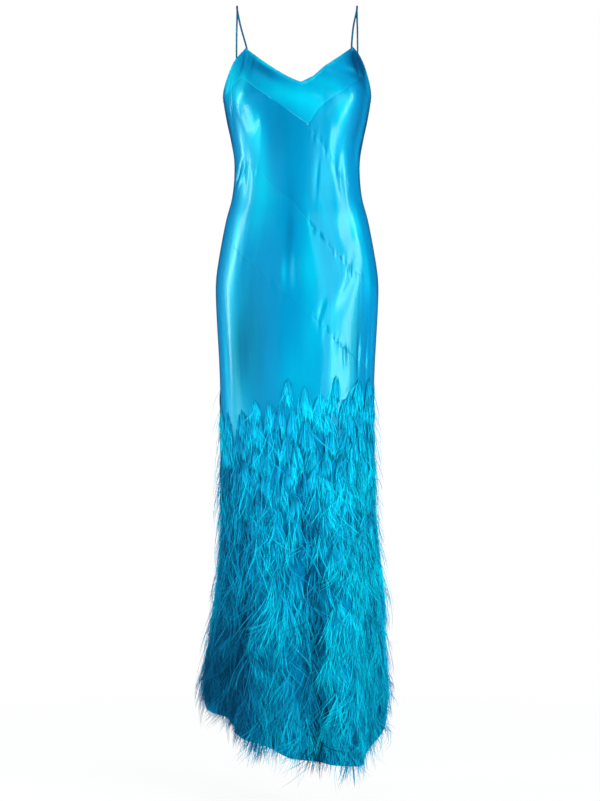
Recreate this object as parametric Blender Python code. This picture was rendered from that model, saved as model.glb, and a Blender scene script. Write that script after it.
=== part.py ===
"""A full-length satin slip gown with shoulder straps and tiers of feather fringe.

Metres, +Z up, and the front faces -Y. The origin is midway between the two
points where the straps rest on the shoulders, and the gown hangs below it.
The tables are in millimetres and degrees. A place on the cloth is a turn
round the body, from the front centre towards +X, and a drop below the origin.
"""

import math
import random
from collections import namedtuple

import bmesh
import bpy
from mathutils import Vector

MM = 0.001

# Cloth and seams
WALL = 1.5
SEAM_GAP = 0.3
SIDE_TURN = 90.0
SIDE_TURN_GAP = 0.06
BODY_SQUARENESS = 2.2
SMOOTH_ANGLE = 50.0

# The columns that every panel and tape shares, some moved onto a corner of the neckline
TURN_STEP = 7.5
MOVED_COLUMNS = {-45.0: -46.0, 0.0: 2.0}
INSET_POINT_TURN = 8.2

# Straps
STRAP_RADIUS = 2.0
STRAP_CLEAR = 0.6
STRAP_SEWN = 14.0
STRAP_POINTS = 26
STRAP_TURN_LEFT = -46.0
STRAP_TURN_RIGHT = 52.5
STRAP_BACK_TURN = 127.5
SHOULDER_HALF_WIDTH = 123.0
StrapKnot = namedtuple("StrapKnot", "in_from_shoulder back height")
STRAP_ROUTE = [
    StrapKnot(6, -33, -46),
    StrapKnot(1, -12, -9),
    StrapKnot(0, 0, 2),
    StrapKnot(0, 13, -7),
    StrapKnot(0, 40, -52),
    StrapKnot(0, 57, -118),
]

# Feather tiers
TIERS = 8
TAPE_OFF = 0.6
TAPE_THICK = 1.5
TAPE_HEIGHT = 9.0
LAST_TAPE_ABOVE_HEM = 90.0
LOCK_SEED = 7
LOCK_VARIES = 0.10
LOCK_SWAY = 1.3

Section = namedtuple("Section", "drop half_width front_depth back_depth centre")
SECTIONS = [
    Section(40, 134, 50, 40, 0),
    Section(94, 140, 78, 62, 0),
    Section(130, 145, 98, 78, 0),
    Section(185, 151, 110, 92, 0),
    Section(230, 145, 106, 88, 0),
    Section(272, 136, 100, 82, 0),
    Section(313, 129, 94, 77, 0),
    Section(354, 129, 90, 76, 0),
    Section(395, 134, 93, 83, 0),
    Section(436, 145, 98, 94, 0),
    Section(497, 157, 103, 112, 0),
    Section(559, 166, 106, 124, 0),
    Section(610, 166, 106, 124, 0),
    Section(743, 159, 103, 112, 0),
    Section(870, 156, 102, 106, 0),
    Section(1090, 156, 106, 108, 4),
    Section(1215, 168, 122, 126, 5),
    Section(1340, 180, 138, 143, -2),
    Section(1440, 187, 150, 156, -3),
    Section(1560, 190, 160, 166, -3),
]

# Soft mounds of the front over the bust
Mound = namedtuple("Mound", "turn drop turn_spread drop_spread height")
MOUNDS = [
    Mound(-40, 205, 18, 55, 12),
    Mound(42, 205, 18, 55, 12),
]

# Flutes of the skirt: a ridge has a positive depth, a valley a negative one
Flute = namedtuple("Flute", "turn turn_spread starts depth")
HEM_DROP = 1500.0
FLUTE_GROWTH = 1.3
FLUTE_MOST = 1.2
FLUTES = [
    Flute(-62, 11, 900, 11),
    Flute(-42, 9, 950, -12),
    Flute(-28, 9, 950, 10),
    Flute(-14, 8, 1000, -11),
    Flute(-1, 8, 950, 10),
    Flute(13, 8, 850, -17),
    Flute(33, 10, 900, 13),
    Flute(52, 9, 1000, -11),
    Flute(68, 10, 1000, 6),
    Flute(112, 12, 950, -12),
    Flute(134, 12, 950, 12),
    Flute(158, 12, 900, -13),
    Flute(181, 12, 900, 13),
    Flute(205, 12, 950, -12),
    Flute(228, 12, 950, 12),
    Flute(250, 11, 1000, -11),
]

Spot = namedtuple("Spot", "turn drop")

# Neckline and armholes of the front, with a strap point at each peak
FRONT_TOP = [
    Spot(-90, 186), Spot(-82, 173), Spot(-72, 147), Spot(-62, 119), Spot(-53, 104),
    Spot(-46, 92), Spot(-35, 108), Spot(-26, 123), Spot(-17, 138), Spot(-8, 153),
    Spot(2, 168), Spot(11, 155), Spot(20, 134), Spot(30, 118), Spot(42, 101),
    Spot(52.5, 88), Spot(62, 104), Spot(70, 124), Spot(80, 155), Spot(90, 186),
]
# Lower edge of the yoke: side dart, bust point, centre point, bust point, side dart
YOKE_SEAM = [
    Spot(-90, 196), Spot(-75, 187), Spot(-60, 174), Spot(-46, 156), Spot(-37, 165),
    Spot(-26, 186), Spot(-12, 212), Spot(-4, 228), Spot(7.5, 253), Spot(15, 222),
    Spot(18, 214), Spot(27, 195), Spot(39, 174), Spot(60, 149), Spot(68, 176),
    Spot(80, 196), Spot(90, 204),
]
# The bias seams, each falling from the left side to the right one
INSET_SEAM = [Spot(7.5, 253), Spot(24, 304), Spot(48, 364), Spot(72, 404), Spot(90, 430)]
WAIST_SEAM = [
    Spot(-90, 262), Spot(-75, 288), Spot(-35, 345), Spot(-3, 406), Spot(13, 468),
    Spot(30, 518), Spot(42, 545), Spot(75, 582), Spot(90, 598),
]
HIP_SEAM = [
    Spot(-90, 436), Spot(-60, 482), Spot(-26, 542), Spot(-4, 598), Spot(15, 655),
    Spot(26, 687), Spot(50, 727), Spot(75, 758), Spot(90, 774),
]
BACK_TOP = [Spot(90, 188), Spot(112, 204), Spot(135, 216), Spot(158, 229), Spot(180, 238),
            Spot(202, 229), Spot(225, 216), Spot(248, 204), Spot(270, 188)]
# Where the feathers start, and the cloth's hem, all the way round
FEATHER_TOP = [
    Spot(-90, 768), Spot(-72, 812), Spot(-57, 858), Spot(-42, 846), Spot(-23, 824),
    Spot(-5, 794), Spot(19, 790), Spot(59, 792), Spot(90, 796), Spot(135, 806),
    Spot(180, 812), Spot(225, 804), Spot(270, 768),
]
HEM = [
    Spot(-90, 1418), Spot(-63, 1430), Spot(-48, 1440), Spot(-37, 1472), Spot(-20, 1488),
    Spot(-2, 1514), Spot(21, 1530), Spot(44, 1534), Spot(61, 1486), Spot(75, 1446),
    Spot(90, 1410), Spot(120, 1440), Spot(150, 1482), Spot(180, 1506), Spot(210, 1488),
    Spot(240, 1446), Spot(270, 1418),
]

# A feather lock, by the share of the way down to the next tier
LockSection = namedtuple("LockSection", "down width inner outer")
LOCK_SECTIONS = [
    LockSection(0.35, 0.95, 2.6, 5.0),
    LockSection(0.85, 1.20, 7.5, 10.5),
    LockSection(1.35, 0.25, 10.5, 12.5),
]

Finish = namedtuple("Finish", "name colour roughness sheen")
SATIN = Finish("satin", (0.0, 0.30, 0.60), 0.28, 0.0)
STRAP_SATIN = Finish("strap_satin", (0.0, 0.18, 0.30), 0.35, 0.0)
FEATHER = Finish("feather", (0.0, 0.30, 0.52), 0.60, 0.6)


# Interpolation

def along(line, turn):
    """Drop of a seam line at a turn, straight between its spots."""
    low, high = line[0].turn, line[-1].turn
    turn = min(max(turn, low), high)
    for a, b in zip(line, line[1:]):
        if turn <= b.turn:
            share = (turn - a.turn) / (b.turn - a.turn)
            return a.drop + (b.drop - a.drop) * share
    return line[-1].drop


def sections_slope(i, field):
    """Slope of one column of SECTIONS at row i, across its neighbours."""
    before = SECTIONS[max(i - 1, 0)]
    after = SECTIONS[min(i + 1, len(SECTIONS) - 1)]
    return (getattr(after, field) - getattr(before, field)) / (after.drop - before.drop)


def section_value(drop, field):
    """A column of SECTIONS at any drop, on a smooth curve through its rows."""
    drop = min(max(drop, SECTIONS[0].drop), SECTIONS[-1].drop)
    i = max(k for k in range(len(SECTIONS) - 1) if SECTIONS[k].drop <= drop)
    a, b = SECTIONS[i], SECTIONS[i + 1]
    span = b.drop - a.drop
    t = (drop - a.drop) / span
    return (
        (2 * t**3 - 3 * t**2 + 1) * getattr(a, field)
        + (t**3 - 2 * t**2 + t) * span * sections_slope(i, field)
        + (3 * t**2 - 2 * t**3) * getattr(b, field)
        + (t**3 - t**2) * span * sections_slope(i + 1, field)
    )


def turn_between(turn, centre):
    """Difference of two turns, the short way round."""
    return (turn - centre + 180.0) % 360.0 - 180.0


def bell(offset, spread):
    return math.exp(-((offset / spread) ** 2))


# The form that every piece follows

def swell(turn, drop):
    """How far the bust and the flutes stand out of the plain section, in mm."""
    out = 0.0
    for m in MOUNDS:
        out += m.height * bell(turn_between(turn, m.turn), m.turn_spread) * bell(
            drop - m.drop, m.drop_spread
        )
    for f in FLUTES:
        grown = max(0.0, (drop - f.starts) / (HEM_DROP - f.starts))
        share = min(grown**FLUTE_GROWTH, FLUTE_MOST)
        out += f.depth * share * bell(turn_between(turn, f.turn), f.turn_spread)
    return out


def skin(turn, drop):
    """The outside of the cloth at a turn and a drop, in mm."""
    angle = math.radians(turn)
    across, ahead = math.sin(angle), math.cos(angle)
    power = 2.0 / BODY_SQUARENESS
    depth = section_value(drop, "front_depth" if ahead > 0 else "back_depth")
    half_width = section_value(drop, "half_width")
    centre = section_value(drop, "centre")
    x = centre + half_width * math.copysign(abs(across) ** power, across)
    y = -depth * math.copysign(abs(ahead) ** power, ahead)
    out = swell(turn, drop)
    return Vector((x + out * across, y - out * ahead, -drop))


def outward(turn, drop):
    """Unit normal of the form, away from the body."""
    half_turn, half_drop = 1.5, 4.0
    round_it = skin(turn + half_turn, drop) - skin(turn - half_turn, drop)
    down_it = skin(turn, drop + half_drop) - skin(turn, drop - half_drop)
    return down_it.cross(round_it).normalized()


def off_skin(turn, drop, out):
    """A point at a distance outside the cloth, or inside it if negative."""
    return skin(turn, drop) + outward(turn, drop) * out


# Meshes

def material(finish):
    made = bpy.data.materials.get(finish.name)
    if made:
        return made
    made = bpy.data.materials.new(finish.name)
    made.use_nodes = True
    shader = made.node_tree.nodes["Principled BSDF"]
    shader.inputs["Base Color"].default_value = (*finish.colour, 1.0)
    shader.inputs["Roughness"].default_value = finish.roughness
    shader.inputs["Metallic"].default_value = 0.0
    shader.inputs["Sheen Weight"].default_value = finish.sheen
    return made


def add_solid(name, points, faces, finish):
    """One named object from points in mm, with its faces turned outwards."""
    mesh = bpy.data.meshes.new(name)
    mesh.from_pydata([p * MM for p in points], [], faces)
    shell = bmesh.new()
    shell.from_mesh(mesh)
    bmesh.ops.recalc_face_normals(shell, faces=shell.faces)
    shell.to_mesh(mesh)
    shell.free()
    mesh.shade_smooth()
    mesh.set_sharp_from_angle(angle=math.radians(SMOOTH_ANGLE))
    mesh.materials.append(material(finish))
    solid = bpy.data.objects.new(name, mesh)
    bpy.context.scene.collection.objects.link(solid)
    return solid


def add_wall(name, turns, drops_at, finish):
    """A cloth wall over columns at the turns. drops_at(turn) gives its rows' drops."""
    grid = [[(turn, drop) for drop in drops_at(turn)] for turn in turns]
    columns, rows = len(grid), len(grid[0])
    outer = [off_skin(t, d, 0.0) for column in grid for t, d in column]
    inner = [off_skin(t, d, -WALL) for column in grid for t, d in column]
    count = columns * rows

    def at(column, row, side):
        return side * count + column * rows + row

    faces = []
    for c in range(columns - 1):
        for r in range(rows - 1):
            for side in (0, 1):
                faces.append((at(c, r, side), at(c, r + 1, side),
                              at(c + 1, r + 1, side), at(c + 1, r, side)))
        for r in (0, rows - 1):
            faces.append((at(c, r, 0), at(c + 1, r, 0), at(c + 1, r, 1), at(c, r, 1)))
    for r in range(rows - 1):
        for c in (0, columns - 1):
            faces.append((at(c, r, 0), at(c, r + 1, 0), at(c, r + 1, 1), at(c, r, 1)))
    return add_solid(name, outer + inner, faces, finish)


def column_turns(first, last):
    """The shared columns from one turn to another, both included."""
    steps = round((last - first) / TURN_STEP)
    turns = [first + TURN_STEP * k for k in range(steps + 1)]
    return [MOVED_COLUMNS.get(turn, turn) for turn in turns]


def panel_turns(first, last):
    """The shared columns of a panel that stops just short of a side seam at each end."""
    turns = column_turns(first, last)
    turns[0] += SIDE_TURN_GAP
    turns[-1] -= SIDE_TURN_GAP
    return turns


def half_gap(line, turn):
    """Half a seam gap square to the seam, as a difference in drop."""
    reach = TURN_STEP / 2
    rise = line(turn + reach) - line(turn - reach)
    run = (skin(turn + reach, line(turn)) - skin(turn - reach, line(turn))).length
    return SEAM_GAP / 2 * math.hypot(1.0, rise / run)


def evenly(top, bottom, rows):
    """Rows' drops from a top line to a bottom one, each half a seam gap short of it."""

    def drops_at(turn):
        first = top(turn) + half_gap(top, turn)
        last = bottom(turn) - half_gap(bottom, turn)
        return [first + (last - first) * k / rows for k in range(rows + 1)]

    return drops_at


# Feather tiers

def tape_line(tier, turn):
    """Drop of a tier's tape at its upper edge."""
    first = along(FEATHER_TOP, turn)
    last = along(HEM, turn) - LAST_TAPE_ABOVE_HEM
    return first + (last - first) * tier / (TIERS - 1)


def skirt_rows(top, rows_above):
    """Rows of a skirt: even ones above the feathers, then each tape's edges, then the hem."""

    def drops_at(turn):
        first, last = top(turn) + half_gap(top, turn), tape_line(0, turn)
        drops = [first + (last - first) * k / rows_above for k in range(rows_above)]
        for tier in range(TIERS):
            edge = tape_line(tier, turn)
            drops += [edge, edge + TAPE_HEIGHT]
        return drops + [along(HEM, turn)]

    return drops_at


def add_feather_tier(tier, chance):
    """A narrow tape round the skirt with a lock hanging from every other segment."""
    turns = column_turns(-SIDE_TURN, 3 * SIDE_TURN)
    columns = len(turns) - 1
    points, faces = [], []
    for turn in turns[:-1]:
        edge = tape_line(tier, turn)
        for drop, out in (
            (edge, TAPE_OFF),
            (edge, TAPE_OFF + TAPE_THICK),
            (edge + TAPE_HEIGHT, TAPE_OFF + TAPE_THICK),
            (edge + TAPE_HEIGHT, TAPE_OFF),
        ):
            points.append(off_skin(turn, drop, out))
    for c in range(columns):
        here, there = 4 * c, 4 * ((c + 1) % columns)
        has_lock = c % 2 == tier % 2
        for k in range(4):
            if k == 2 and has_lock:
                continue
            nxt = (k + 1) % 4
            faces.append((here + k, here + nxt, there + nxt, there + k))
        if has_lock:
            root = (here + 3, here + 2, there + 2, there + 3)
            add_lock(points, faces, root, tier, turns[c], turns[c + 1], chance)
    return add_solid(f"feather_tier_{tier + 1}", points, faces, FEATHER)


def hanging(turn, drop, out):
    """A point off the cloth, or straight below its hem where the drop passes that."""
    hem = along(HEM, turn)
    past = max(0.0, drop - hem)
    return off_skin(turn, drop - past, out) - Vector((0, 0, past))


def add_lock(points, faces, root, tier, first_turn, last_turn, chance):
    """A flat four-sided plume that grows down and out of one segment of a tape."""
    middle = (first_turn + last_turn) / 2
    edge = tape_line(tier, middle) + TAPE_HEIGHT
    spacing = tape_line(1, middle) - tape_line(0, middle)
    spacing *= chance.uniform(1 - LOCK_VARIES, 1 + LOCK_VARIES)
    lean = chance.uniform(1 - LOCK_VARIES, 1 + LOCK_VARIES)
    sway = chance.uniform(-LOCK_SWAY, LOCK_SWAY)
    ring = root
    for s in LOCK_SECTIONS:
        drop = edge + spacing * s.down
        half = (last_turn - first_turn) / 2 * s.width
        left = middle - half + sway * s.down
        right = middle + half + sway * s.down
        first = len(points)
        points.extend((
            hanging(left, drop, s.inner * lean),
            hanging(left, drop, s.outer * lean),
            hanging(right, drop, s.outer * lean),
            hanging(right, drop, s.inner * lean),
        ))
        below = tuple(range(first, first + 4))
        for k in range(4):
            nxt = (k + 1) % 4
            faces.append((ring[k], ring[nxt], below[nxt], below[k]))
        ring = below
    faces.append(ring)


# Straps

def smooth_route(knots, count):
    """Points spread along one smooth curve through the knots."""
    ends = [knots[0] * 2 - knots[1], *knots, knots[-1] * 2 - knots[-2]]
    route = []
    for k in range(count):
        place = (len(knots) - 1) * k / (count - 1)
        i = min(int(place), len(knots) - 2)
        t = place - i
        a, b, c, d = ends[i:i + 4]
        route.append(0.5 * (
            2 * b + (c - a) * t + (2 * a - 5 * b + 4 * c - d) * t**2
            + (3 * b - a - 3 * c + d) * t**3
        ))
    return route


def add_strap(name, side, front_turn, back_turn):
    """A thin rolled strap from a peak of the front, over the shoulder, to the back edge."""
    inside = -(WALL + STRAP_CLEAR + STRAP_RADIUS)
    front_drop = along(FRONT_TOP, front_turn)
    back_drop = along(BACK_TOP, back_turn)
    knots = [
        off_skin(front_turn, front_drop + STRAP_SEWN, inside),
        off_skin(front_turn, front_drop, inside),
    ]
    for knot in STRAP_ROUTE:
        across = side * (SHOULDER_HALF_WIDTH - knot.in_from_shoulder)
        knots.append(Vector((across, knot.back, knot.height)))
    knots += [
        off_skin(back_turn, back_drop - STRAP_SEWN, inside),
        off_skin(back_turn, back_drop + STRAP_SEWN, inside),
    ]
    curve = bpy.data.curves.new(name, "CURVE")
    curve.dimensions = "3D"
    curve.bevel_depth = STRAP_RADIUS * MM
    curve.bevel_resolution = 2
    curve.use_fill_caps = True
    route = smooth_route(knots, STRAP_POINTS)
    spline = curve.splines.new("POLY")
    spline.points.add(len(route) - 1)
    for spot, place in zip(spline.points, route):
        spot.co = (*(place * MM), 1.0)
    curve.materials.append(material(STRAP_SATIN))
    strap = bpy.data.objects.new(name, curve)
    bpy.context.scene.collection.objects.link(strap)
    return strap


def clear_scene():
    for old in list(bpy.data.objects):
        bpy.data.objects.remove(old)


def build():
    clear_scene()

    def line(spots):
        return lambda turn: along(spots, turn)

    def under_yoke(turn):
        """Top of the waist panel: the yoke's seam, then the inset's from its point on."""
        spots = YOKE_SEAM if turn <= INSET_SEAM[0].turn else INSET_SEAM
        return along(spots, turn)

    front = panel_turns(-SIDE_TURN, SIDE_TURN)
    back = panel_turns(SIDE_TURN, 3 * SIDE_TURN)
    inset = [INSET_POINT_TURN] + [turn for turn in front if turn > INSET_POINT_TURN]

    add_wall("front_yoke", front, evenly(line(FRONT_TOP), line(YOKE_SEAM), 3), SATIN)
    add_wall("front_inset", inset, evenly(line(YOKE_SEAM), line(INSET_SEAM), 4), SATIN)
    add_wall("front_waist", front, evenly(under_yoke, line(WAIST_SEAM), 4), SATIN)
    add_wall("front_hip", front, evenly(line(WAIST_SEAM), line(HIP_SEAM), 4), SATIN)
    add_wall("front_skirt", front, skirt_rows(line(HIP_SEAM), 4), SATIN)
    add_wall("back_panel", back, skirt_rows(line(BACK_TOP), 12), SATIN)
    add_strap("strap_left", -1, STRAP_TURN_LEFT, 360.0 - STRAP_BACK_TURN)
    add_strap("strap_right", 1, STRAP_TURN_RIGHT, STRAP_BACK_TURN)

    chance = random.Random(LOCK_SEED)
    for tier in range(TIERS):
        add_feather_tier(tier, chance)


build()
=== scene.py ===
# A satin slip gown with feather fringe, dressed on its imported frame.
# The gown's dictionaries hold millimetres and degrees. A place on the cloth is a turn round
# the body, from the front centre towards +X, and a drop below the shoulders.
import bpy
import numpy as np
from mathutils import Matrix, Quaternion, Vector


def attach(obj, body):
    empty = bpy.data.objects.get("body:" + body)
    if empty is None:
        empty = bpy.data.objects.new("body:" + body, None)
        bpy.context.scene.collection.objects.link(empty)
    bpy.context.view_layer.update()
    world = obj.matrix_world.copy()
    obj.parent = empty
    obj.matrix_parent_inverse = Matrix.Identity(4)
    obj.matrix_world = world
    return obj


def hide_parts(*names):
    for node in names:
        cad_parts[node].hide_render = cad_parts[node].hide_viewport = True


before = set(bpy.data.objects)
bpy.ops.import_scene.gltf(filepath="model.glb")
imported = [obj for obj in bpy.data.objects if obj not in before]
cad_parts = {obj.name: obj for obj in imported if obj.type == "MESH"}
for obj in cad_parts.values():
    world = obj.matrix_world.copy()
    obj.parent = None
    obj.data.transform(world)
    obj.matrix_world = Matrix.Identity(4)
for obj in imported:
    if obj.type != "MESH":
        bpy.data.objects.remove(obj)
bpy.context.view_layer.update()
mm = 0.001
sideTurn = 90.0
print("frame loaded:", len(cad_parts), "nodes")

# The form that all the cloth follows, as the frame's solids do
form = {
    "squareness": 2.2,
    "normalSteps": (1.5, 4.0),  # turn and drop each way to the spots that give the slope
    "sections": np.array([  # drop, half width, front depth, back depth, centre
        (40, 134, 50, 40, 0), (94, 140, 78, 62, 0), (130, 145, 98, 78, 0),
        (185, 151, 110, 92, 0), (230, 145, 106, 88, 0), (272, 136, 100, 82, 0),
        (313, 129, 94, 77, 0), (354, 129, 90, 76, 0), (395, 134, 93, 83, 0),
        (436, 145, 98, 94, 0), (497, 157, 103, 112, 0), (559, 166, 106, 124, 0),
        (610, 166, 106, 124, 0), (743, 159, 103, 112, 0), (870, 156, 102, 106, 0),
        (1090, 156, 106, 108, 4), (1215, 168, 122, 126, 5), (1340, 180, 138, 143, -2),
        (1440, 187, 150, 156, -3), (1560, 190, 160, 166, -3),
    ], float),
    "mounds": np.array([  # turn, drop, turn spread, drop spread, height
        (-40, 205, 18, 55, 12), (42, 205, 18, 55, 12),
    ], float),
    "flutes": np.array([  # turn, turn spread, drop where it starts, depth at the hem
        (-62, 11, 900, 11), (-42, 9, 950, -12), (-28, 9, 950, 10), (-14, 8, 1000, -11),
        (-1, 8, 950, 10), (13, 8, 850, -17), (33, 10, 900, 13), (52, 9, 1000, -11),
        (68, 10, 1000, 6), (112, 12, 950, -12), (134, 12, 950, 12), (158, 12, 900, -13),
        (181, 12, 900, 13), (205, 12, 950, -12), (228, 12, 950, 12), (250, 11, 1000, -11),
    ], float),
    "hemDrop": 1500.0,
    "fluteGrowth": 1.3,
    "fluteMost": 1.2,
}

# Seams and edges: turn, drop
lines = {
    "frontTop": [(-90, 186), (-82, 173), (-72, 147), (-62, 119), (-53, 104), (-46, 92),
                 (-35, 108), (-26, 123), (-17, 138), (-8, 153), (2, 168), (11, 155), (20, 134),
                 (30, 118), (42, 101), (52.5, 88), (62, 104), (70, 124), (80, 155), (90, 186)],
    "yoke": [(-90, 196), (-75, 187), (-60, 174), (-46, 156), (-37, 165), (-26, 186), (-12, 212),
             (-4, 228), (7.5, 253), (15, 222), (18, 214), (27, 195), (39, 174), (60, 149),
             (68, 176), (80, 196), (90, 204)],
    "inset": [(7.5, 253), (24, 304), (48, 364), (72, 404), (90, 430)],
    "waist": [(-90, 262), (-75, 288), (-35, 345), (-3, 406), (13, 468), (30, 518), (42, 545),
              (75, 582), (90, 598)],
    "hip": [(-90, 436), (-60, 482), (-26, 542), (-4, 598), (15, 655), (26, 687), (50, 727),
            (75, 758), (90, 774)],
    "backTop": [(90, 188), (112, 204), (135, 216), (158, 229), (180, 238), (202, 229),
                (225, 216), (248, 204), (270, 188)],
    "featherTop": [(-90, 796), (-72, 842), (-57, 864), (-42, 846), (-23, 824), (-5, 794),
                   (19, 790), (59, 792), (90, 796), (135, 806), (180, 812), (225, 804),
                   (270, 796)],
    "hem": [(-90, 1418), (-63, 1430), (-48, 1440), (-37, 1472), (-20, 1488), (-2, 1514),
            (21, 1530), (44, 1534), (61, 1486), (75, 1446), (90, 1410), (120, 1440),
            (150, 1482), (180, 1506), (210, 1488), (240, 1446), (270, 1418)],
    # how far the plumes may trail past the hem: turn, mm
    "trail": [(-90, -20), (-70, -22), (-57, -12), (-48, -2), (-40, -6), (-34, -14), (-28, -4),
              (-22, 14), (-17, 30), (-12, 34), (-3, 22), (6, 50), (11, 22), (19, 26), (26, 18),
              (37, 50), (45, 14), (53, 4), (63, -22), (72, -34), (90, -28), (120, -6),
              (140, -2), (165, 12), (190, 2), (215, 12), (240, 0), (270, -20)],
}

# Soft creases: turn, drop, lean from upright, half length, half width, depth (a trough is +)
creases = np.array([
    (-49, 124, 4, 20, 3.6, 2.4), (-44.5, 112, -2, 14, 2.8, -1.6), (-36, 124, -5, 18, 3.4, 1.3),
    (-22, 152, 60, 50, 11, 1.3), (-17, 137, 60, 50, 4, -0.6), (10, 178, 48, 26, 7, 1.2),
    (46, 146, 80, 46, 10, 2.8), (52, 112, 20, 26, 6, 2), (24, 150, 60, 26, 8, -1.5),
    (-57, 197, 0, 18, 2.8, 1.8), (-62, 214, -12, 24, 3.2, 1.5), (-66, 168, -20, 22, 3.4, 1.2),
    (-68, 350, -42, 34, 5, 3), (-78, 328, -40, 28, 4.4, 2.2), (-60, 354, -40, 30, 4.2, -1.8),
    (-49, 348, 2, 44, 12, 1.8), (-34, 262, -22, 40, 11.2, 1.1), (-47, 246, 10, 26, 8.8, -1),
    (-7, 550, 0, 44, 8.8, -1.0), (-0.5, 545, 0, 52, 6, 1.7), (9, 500, 8, 70, 11.2, -0.9),
    (15, 627, -14, 22, 4, 2), (-20, 470, -16, 70, 15, -1.1), (-32, 500, -14, 80, 12.5, 1.1),
    (-51, 712, 0, 112, 30, -3.9), (-34, 700, 0, 105, 26, 1.2), (-24, 690, -12, 70, 13.8, -0.9),
    (60, 735, 2, 50, 4.4, 2.2), (49, 715, 0, 30, 3.6, 1.7), (68, 700, 4, 66, 4, 1.6),
    (35, 720, 4, 26, 3.4, 1.8), (40, 560, -22, 60, 13.8, 1.4), (27, 590, -26, 60, 12.5, -1.1),
    (52, 480, 10, 70, 12.5, -1), (22, 430, 16, 50, 10, 1), (41, 346, 4, 52, 12, 2.2),
    (28, 300, 10, 60, 8.8, -0.9), (70, 330, 38, 34, 5, 2.6), (80, 300, 36, 26, 4.4, 2),
    (16, 360, -8, 46, 5, 1.3), (8, 690, 6, 70, 15, 1), (22, 700, -4, 50, 10, -0.8),
    (-41, 247, -14, 42, 26, 3.2), (-29, 262, -14, 42, 6, -0.8), (42, 464, -2, 40, 34, 4.0),
    (17, 750, -4, 62, 25, -2.4),
    (112, 345, 38, 36, 5.5, 2.8), (128, 372, 30, 34, 5, 2), (248, 345, -38, 36, 5.5, 2.8),
    (231, 370, -30, 34, 5, 2), (172, 395, 6, 66, 10, 2.2), (188, 420, -6, 54, 8.8, -1.6),
    (150, 470, -12, 44, 10, 1.1), (212, 480, 14, 48, 10, 1.2), (163, 640, -3, 80, 12.5, 1.9),
    (200, 660, 4, 90, 12.5, 1.9), (180, 700, 0, 70, 10, -1.4), (128, 600, -10, 50, 8.8, 1.5),
    (178, 262, 84, 40, 8.8, 1.6), (150, 290, -20, 40, 10, -1.3), (214, 300, 18, 44, 10, 1.4),
], float)

# Fine puckers that a bias seam draws in: seam, first turn, last turn, number, half length, depth
puckerRuns = [
    ("inset", 9, 30, 12, 9.0, 0.55), ("inset", 34, 62, 10, 7.0, 0.30),
    ("waist", -46, -4, 15, 8.0, 0.50), ("waist", 5, 45, 18, 8.0, 1.20),
    ("waist", 48, 80, 9, 8.0, 0.40), ("waist", -84, -50, 9, 8.0, 0.40),
    ("hip", -26, -4, 8, 9.0, 1.20), ("hip", 7, 38, 13, 8.5, 1.15),
    ("hip", -80, -32, 10, 8.0, 0.30), ("hip", 42, 80, 10, 8.0, 0.40),
    ("yoke", -40, 2, 9, 5.0, 0.20), ("yoke", 12, 50, 9, 6.0, 0.30),
]

# How a run's puckers differ: place in its step, size, shares of the half length below the
# seam, lean, half width and share of the depth; each third one is a low ridge
puckerSpread = {
    "seed": 5,
    "place": (0.2, 0.8), "size": (0.55, 1.35), "below": (-0.5, 0.9),
    "lean": (-16, 10), "halfWidth": (1.8, 3.0), "depth": (0.4, 1.3),
    "ridgeEvery": 3, "ridge": -0.7,
}

# Painted light and shade on the satin, added to its panel's tone: painted highlights (+) and
# painted shade (−), such as the dark sides and the shadow under the neckline: turn, drop, lean,
# half length, half width, amount (lighter is +)
paintedLightSpots = np.array([
    (-24, 142, 60, 50, 12, -0.40), (56, 119, 8, 38, 34, -0.82), (66, 150, -20, 34, 14, -0.30),
    (-22, 132, 60, 48, 4, 0.50), (30, 120, -60, 40, 4, 0.15),
    (-47, 126, 0, 22, 5, -0.36), (-36, 126, -6, 22, 4, -0.20), (-64, 162, -20, 30, 26, 0.60),
    (-47, 186, 0, 28, 24, 0.45), (4, 198, 60, 60, 24, 0.26), (-10, 188, 60, 40, 18, 0.14),
    (-42, 158, 40, 20, 8, 0.32), (20, 170, 70, 40, 12, 0.16),
    (-14, 262, -10, 90, 34, -0.10), (-36, 262, -10, 40, 26, 0.34), (-56, 300, -8, 60, 12, 0.18),
    (-31, 372, 0, 110, 26, 0.36), (-22, 400, -6, 80, 24, 0.12),
    (32, 215, 14, 40, 12, 0.28), (33, 310, 4, 90, 16, 0.02), (56, 240, 0, 60, 16, -0.22),
    (20, 400, 0, 80, 26, 0.22), (38, 410, 0, 90, 20, -0.10), (52, 445, 0, 44, 16, 0.40),
    (58, 540, 0, 70, 12, 0.30), (8, 480, 4, 90, 16, 0.20),
    (-4, 470, 0, 70, 7, -0.20), (-30, 520, -6, 110, 22, -0.10), (-52, 480, 4, 120, 12, 0.20),
    (6, 548, 0, 50, 22, 0.22), (-7.5, 548, 0, 26, 4, 0.34),
    (-34, 700, 0, 120, 40, -0.28), (18, 640, -10, 80, 30, 0.14), (41, 670, 2, 130, 34, -0.34),
    (-48, 720, 0, 110, 20, -0.25),
    (0, 765, 0, 60, 44, 0.16), (8, 660, 0, 60, 30, 0.08),
    (-62, 740, 2, 110, 10, 0.34), (-88, 440, 0, 460, 26, -0.70), (88, 480, 0, 460, 24, -0.60),
    (-80, 230, 4, 50, 18, -0.26), (80, 250, 4, 80, 16, -0.28),
    (130, 430, 6, 160, 30, 0.16), (180, 420, 0, 130, 26, -0.16), (228, 440, -6, 160, 30, 0.12),
], float)

mmPerTurn = 2.7  # along the cloth for a degree of turn, near enough for creases


def lineDrop(name, turn):
    # straight between a line's spots, with the turn brought back into the ring
    spots = np.array(lines[name], float)
    turn = np.asarray(turn, float)
    if spots[-1, 0] - spots[0, 0] == 360.0:
        turn = (turn + sideTurn) % 360.0 - sideTurn
    return np.interp(turn, spots[:, 0], spots[:, 1])


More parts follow.
